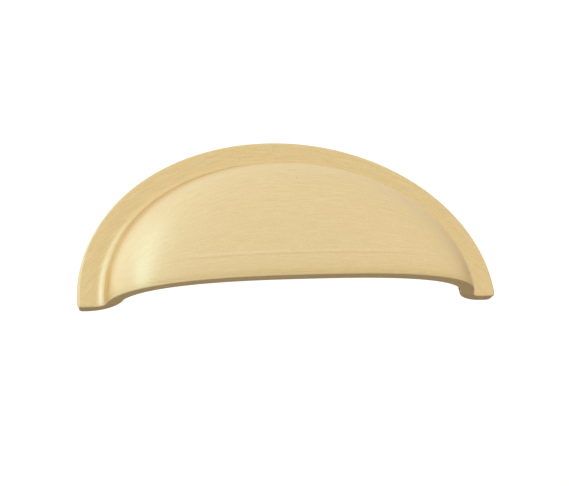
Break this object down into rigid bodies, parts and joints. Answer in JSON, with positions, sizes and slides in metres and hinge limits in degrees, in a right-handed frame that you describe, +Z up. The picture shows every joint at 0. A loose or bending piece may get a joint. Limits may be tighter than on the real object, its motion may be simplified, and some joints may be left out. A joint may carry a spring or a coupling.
{
  "type": "drawer pull",
  "caption": "Cup-shaped drawer pull in satin brass: a hollow hood with a flat flange round it, open underneath for the fingers and fixed by screws from behind.",
  "frame": {"origin": "midway between the two screw holes, on the back plane that lies against the drawer front", "axes": "+X along the pull's length, +Y into the drawer front, +Z up, away from the open underside; the hood comes out along -Y"},
  "size_m": [0.11, 0.0223, 0.0438],
  "materials": {
    "satin_brass": "satin, brushed along the length of the pull"
  },
  "bodies": {
    "root": {"cup_pull": "satin_brass"}
  },
  "joints": []
}
